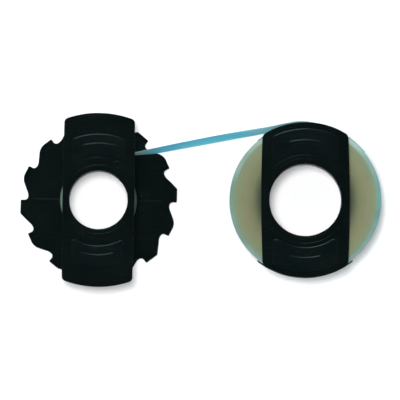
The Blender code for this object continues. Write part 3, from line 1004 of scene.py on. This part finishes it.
def takeup_windings():
    """The leader's first few turns round the take-up hub, darkened by the black under them, with
    painted shade towards their outside and on their +X side.
    """
    # painted shade: the edge darkens towards the winding's outside
    edges = [(0.0, srgb(90, 112, 99)), (0.5, srgb(92, 115, 101)), (1.0, srgb(58, 78, 68))]
    # painted light on the -X side and painted shade on the +X side
    material = wound_film("takeup_film", TAKEUP_HUB, TAKEUP_FILM, edges, wall=srgb(54, 87, 91),
                          lit_side=(-1, 0, 0), tones=(0.36, 0.98))
    turns = winding("takeup_film_turns", TAKEUP_HUB + HUB_GAP, TAKEUP_FILM, FILM_LAYER,
                    uneven=0.04 * MM, seed=9)
    make_piece(turns, material, "takeup", "takeup_leader_turns", TAKEUP_TURN)


def adhesive_tabs(material):
    """The tab that holds the film on each hub, and the patch that joins film and tape."""
    tab = sector("takeup_tab", TAKEUP_HUB - TAB, TAKEUP_HUB - TAB_GAP, TAB_PLACE,
                 TAB_HALF_ANGLE, TAB_LOW, TAB_HIGH)
    make_piece(tab, material, "takeup", "takeup_anchor_tab", TAKEUP_TURN)
    tab = sector("supply_tab", SUPPLY_HUB - TAB, SUPPLY_HUB - TAB_GAP, TAB_PLACE,
                 TAB_HALF_ANGLE, TAB_LOW, TAB_HIGH)
    make_piece(tab, material, "supply", "supply_core_tab")
    patch = sector("splice", TAPE_OUTER - SPLICE_BELOW, TAPE_OUTER + SPLICE_ABOVE, SPLICE_PLACE,
                   SPLICE_HALF_ANGLE, FILM_LOW + FIT, FILM_HIGH - FIT)
    make_piece(patch, material, "supply", "splice_patch")


def smooth(share):
    """An even rise from 0 to 1, level at both ends."""
    share = min(1, max(0, share))
    return share * share * (3 - 2 * share)


def slack(share):
    """How far the film's lower and upper edges sag in at a place between the spools.

    The share runs from 0 at the take-up spool to 1 at the roll, where the film is taut.
    """
    taut_length = 0.12  # shares of the way over which each sag comes and goes
    foot_start, foot_length = 0.19, 0.14
    top_length = 0.2
    taut_end = smooth((1 - share) / taut_length)
    foot = FOOT_SLACK * smooth((share - foot_start) / foot_length) * taut_end
    top = TOP_SLACK * smooth(share / top_length) * taut_end
    return foot, top


def takeup_stretch(centre, radius, tangent):
    """The film's last stretch on the take-up winding, where it is upright."""
    steps = 20
    angles = [tangent + TAKEUP_LEAD * (1 - i / steps) for i in range(steps)]
    return [(polar(radius, angle, centre), polar(1, angle), 0.0) for angle in angles]


def free_stretch(start, stop, tangent):
    """The film between the spools, whose upper edge leans out."""
    steps = 60
    stretch = []
    for i in range(steps + 1):
        share = i / steps
        foot_slack, top_slack = slack(share)
        foot = start.lerp(stop, share) - polar(foot_slack, tangent)
        lean = LEAN_START * share - LEAN_FALL * share**2 + foot_slack - top_slack
        stretch.append((foot, polar(1, tangent), lean))
    return stretch


def supply_stretch(centre, radius, tangent):
    """The film's first stretch on the full roll, where its lean dies away."""
    steps = 40
    last_lean = LEAN_START - LEAN_FALL
    upright_from = 0.6  # share of the stretch
    stretch = []
    for i in range(1, steps + 1):
        share = i / steps
        angle = tangent - SUPPLY_WRAP * share
        lean = last_lean * smooth(1 - share / upright_from)
        stretch.append((polar(radius, angle, centre), polar(1, angle), lean))
    return stretch


def film_route():
    """Places along the film's lower edge, each with its outward direction and its lean."""
    clear = FILM_GAP + FILM_THICKNESS / 2
    near, far = TAKEUP_FILM + clear, SUPPLY_FILM + clear
    takeup, supply = AXIS["takeup"].to_2d(), AXIS["supply"].to_2d()
    tangent = math.pi / 2 + math.asin((far - near) / (supply - takeup).length)
    start, stop = polar(near, tangent, takeup), polar(far, tangent, supply)
    route = takeup_stretch(takeup, near, tangent)
    route += free_stretch(start, stop, tangent)
    return route + supply_stretch(supply, far, tangent)


def film_span(material):
    """The taut leader film, from the take-up winding round onto the supply winding."""
    rows = 12
    shape = bmesh.new()
    grid = []
    for place, outward, lean in film_route():
        column = []
        for row in range(rows + 1):
            up = row / rows
            point = place + outward * lean * up**LEAN_CURVE
            column.append(shape.verts.new((*point, FILM_LOW + (FILM_HIGH - FILM_LOW) * up)))
        grid.append(column)
    for column, after in zip(grid, grid[1:]):
        for row in range(rows):
            shape.faces.new((column[row], after[row], after[row + 1], column[row + 1]))
    bmesh.ops.recalc_face_normals(shape, faces=shape.faces)
    mesh = bpy.data.meshes.new("film_span")
    shape.to_mesh(mesh)
    shape.free()
    span = new_object("film_span", mesh)
    thick = span.modifiers.new("thickness", "SOLIDIFY")
    thick.thickness = FILM_THICKNESS
    thick.offset = 0
    make_piece(span, material, "leader", "leader_span")


# ---------------------------------------------------------------- studio

def floor():
    """A wide pale card under the set."""
    reach = 3.0
    below = 0.01 * MM  # so that it doesn't lie in the undersides' own plane
    shape = bmesh.new()
    bmesh.ops.create_grid(shape, x_segments=8, y_segments=8, size=reach)
    mesh = bpy.data.meshes.new("floor")
    shape.to_mesh(mesh)
    shape.free()
    card = new_object("floor", mesh)
    card.location = (0, 0, -below)
    card.data.materials.append(floor_paper())


def soft_light(name, azimuth, elevation, distance, size, power, tint=(1, 1, 1), in_gloss=False):
    """A round area light that faces the set. Azimuth 0 is on the +Y side, 90 on the +X side.

    It either lights the surfaces or only shows as a reflection in them.
    """
    data = bpy.data.lights.new(name, "AREA")
    data.shape = "DISK"
    data.size = size
    data.energy = power
    data.color = tint
    light = bpy.data.objects.new(name, data)
    bpy.context.scene.collection.objects.link(light)
    around, up = math.radians(azimuth), math.radians(elevation)
    away = Vector((math.sin(around) * math.cos(up), math.cos(around) * math.cos(up), math.sin(up)))
    light.location = away * distance
    light.rotation_euler = away.to_track_quat("Z", "Y").to_euler()
    light.visible_glossy = in_gloss
    light.visible_diffuse = not in_gloss


def sky():
    """Even light from all round, weaker from straight above and near the ground."""
    world = bpy.data.worlds.new("studio")
    bpy.context.scene.world = world
    world.use_nodes = True
    tree = world.node_tree
    direction = add_node(tree, "ShaderNodeTexCoord").outputs["Generated"]
    ground, around, above = (0.25, 0.26, 0.27, 1), (0.7, 0.72, 0.74, 1), (0.2, 0.24, 0.26, 1)
    glow = ramp(tree, component(tree, direction, "Z"), [
        (0.0, ground), (0.3, around), (0.6, around), (0.9, above),
    ])
    background = tree.nodes["Background"]
    tree.links.new(glow, background.inputs["Color"])
    background.inputs["Strength"].default_value = 0.25


def studio():
    scene = bpy.context.scene
    scene.view_settings.view_transform = "Standard"
    sky()
    soft_light("key", azimuth=-45, elevation=84, distance=1.0, size=0.2, power=7.2)
    soft_light("fill", azimuth=180, elevation=CAMERA_ELEVATION, distance=2.5, size=0.1, power=22.5)
    soft_light("front", azimuth=180, elevation=20, distance=1.0, size=0.4, power=1.9)
    soft_light("rim", azimuth=-10, elevation=18, distance=0.9, size=0.35, power=3.4,
               tint=(0.86, 1.0, 0.98))
    soft_light("sheen", azimuth=-10, elevation=50, distance=0.9, size=0.35, power=2.4,
               tint=(0.64, 1.0, 0.98), in_gloss=True)
    floor()


def camera():
    """Almost straight above, far away with a very long lens."""
    elevation = math.radians(CAMERA_ELEVATION)
    distance = 2.45
    shown = 84.8 * MM  # width of the view at the set
    data = bpy.data.cameras.new("camera")
    data.lens = data.sensor_width * distance / shown
    data.clip_start = 0.1
    data.clip_end = 20
    view = bpy.data.objects.new("camera", data)
    bpy.context.scene.collection.objects.link(view)
    aim = Vector((-0.1 * MM, -0.03 * MM, UPPER_HIGH))
    away = Vector((0, -math.cos(elevation), math.sin(elevation)))
    view.location = aim + away * distance
    view.rotation_euler = (math.pi / 2 - elevation, 0, 0)
    bpy.context.scene.camera = view


camera()
studio()

black = black_plastic()
ratchet_spool(black)
takeup_ear(black)
supply_hub(black)
supply_ear(black)
tape_roll(lift_off_tape())
supply_windings()
takeup_windings()
film_span(sheet_film())
adhesive_tabs(adhesive_film())
